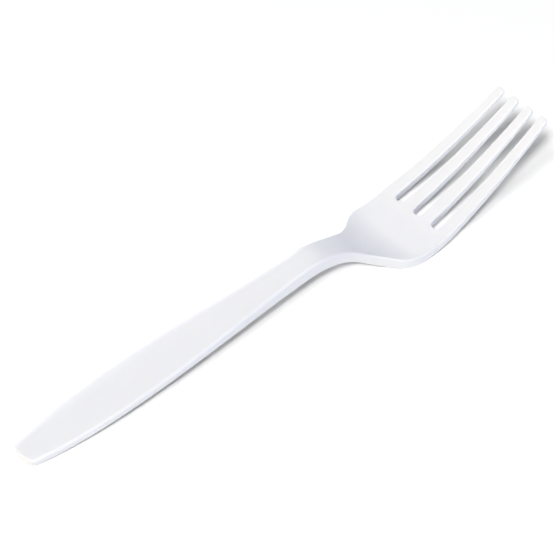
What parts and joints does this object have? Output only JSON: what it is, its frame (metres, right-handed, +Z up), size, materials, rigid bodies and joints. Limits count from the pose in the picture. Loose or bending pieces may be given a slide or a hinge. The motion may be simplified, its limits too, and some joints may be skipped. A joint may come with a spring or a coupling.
{
  "type": "disposable plastic fork",
  "caption": "Full-size single-use white plastic fork: long tapering handle with turned-down edges, bent neck, and a gently raised head with straight blunt tines.",
  "frame": {"origin": "middle of the bounding box, on the table that the fork lies on", "axes": "+X along the fork from the butt to the tips, +Y across it, +Z up from the table"},
  "size_m": [0.1792, 0.027, 0.0231],
  "materials": {
    "white_plastic": "smooth moulded, satin gloss"
  },
  "bodies": {
    "root": {"fork": "white_plastic"}
  },
  "joints": []
}
